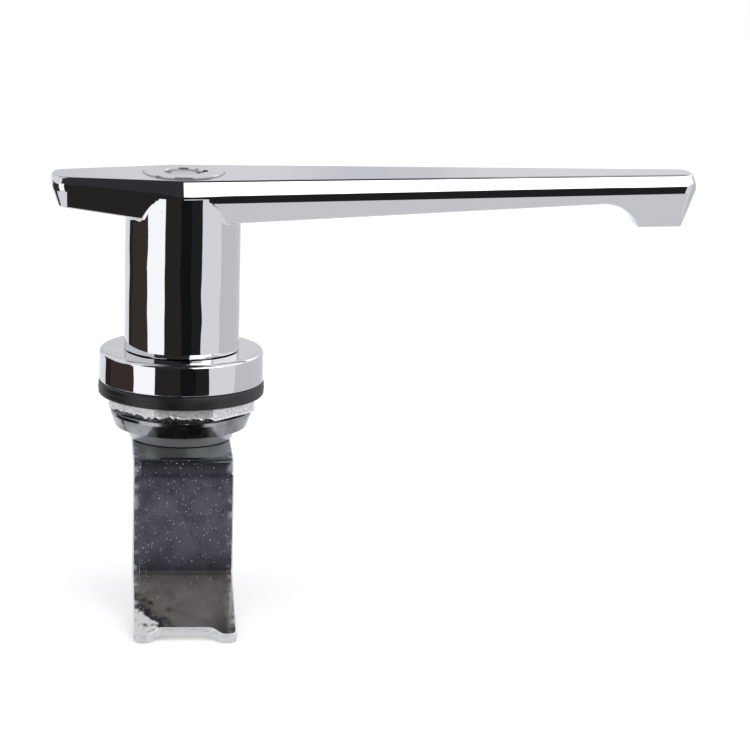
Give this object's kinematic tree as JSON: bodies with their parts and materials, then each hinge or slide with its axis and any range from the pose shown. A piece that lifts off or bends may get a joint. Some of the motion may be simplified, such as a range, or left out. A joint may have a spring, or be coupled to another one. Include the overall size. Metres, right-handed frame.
{
  "type": "cabinet handle lock",
  "caption": "L-handle cabinet lock with a long tapered lever, a round key cylinder in its top face, a round flange with a rubber gasket, a nut on the barrel and a Z-bent cam.",
  "frame": {"origin": "on the lock's turning axis, in the plane of the panel's outer face, where the gasket's underside lies", "axes": "+Z out of the cabinet along the turning axis, +X along the lever at rest, -Y the side that the cam's tab points to at rest, four degrees off it"},
  "size_m": [0.1268, 0.0571, 0.0823],
  "materials": {
    "bright_chrome": "bright decorative chrome plate on polished zinc casting",
    "lock_chrome": "chrome plate with fine turning marks",
    "gasket_rubber": "matt black moulded rubber",
    "cast_zinc_plate": "bright zinc plate on a rough casting",
    "dark_chrome": "turned steel with a darker chrome plate",
    "zinc_plated_steel": "bright blue zinc plate on rolled steel sheet",
    "white_nylon": "moulded nylon",
    "spring_steel": "oiled spring steel",
    "turned_brass": "turned brass",
    "black_steel": "black oxide on a steel screw",
    "oil_seal_rubber": "greased black rubber"
  },
  "bodies": {
    "base": {"mounting_body": "bright_chrome", "gasket": "gasket_rubber", "octagonal_nut": "cast_zinc_plate", "lock_ring": "dark_chrome", "thrust_washer": "white_nylon", "stop_pin": "spring_steel"},
    "lever": {"lever": "bright_chrome", "journal_o_ring": "oil_seal_rubber", "retaining_ring": "spring_steel", "cam": "zinc_plated_steel", "cam_washer": "zinc_plated_steel", "spring_washer": "spring_steel", "cam_screw": "zinc_plated_steel", "cylinder_shell": "lock_chrome", "grub_screw": "black_steel", "pin_sleeve": "turned_brass", "sleeve_pin": "spring_steel", "driver_pins": "turned_brass", "pin_springs": "spring_steel"},
    "key_plug": {"key_plug": "lock_chrome", "key_pins": "turned_brass", "plug_clip": "spring_steel", "tail_rod": "zinc_plated_steel"},
    "lock_bolt": {"lock_bolt": "zinc_plated_steel"}
  },
  "joints": [
    {"name": "lever_turn", "type": "hinge", "parent": "base", "child": "lever", "pos_m": [0, 0, 0.005], "axis": [0, 0, 1], "range_deg": [0, 90]},
    {"name": "key_turn", "type": "hinge", "parent": "lever", "child": "key_plug", "pos_m": [0, 0, 0.035], "axis": [0, 0, 1], "range_deg": [0, 90]},
    {"name": "bolt_slide", "type": "slide", "parent": "lever", "child": "lock_bolt", "axis": [0, 1, 0], "range_m": [0, 0.00255]}
  ],
  "couplings": [
    {"joint": "key_turn", "follows": "bolt_slide", "rad_per_m": 617.09}
  ]
}
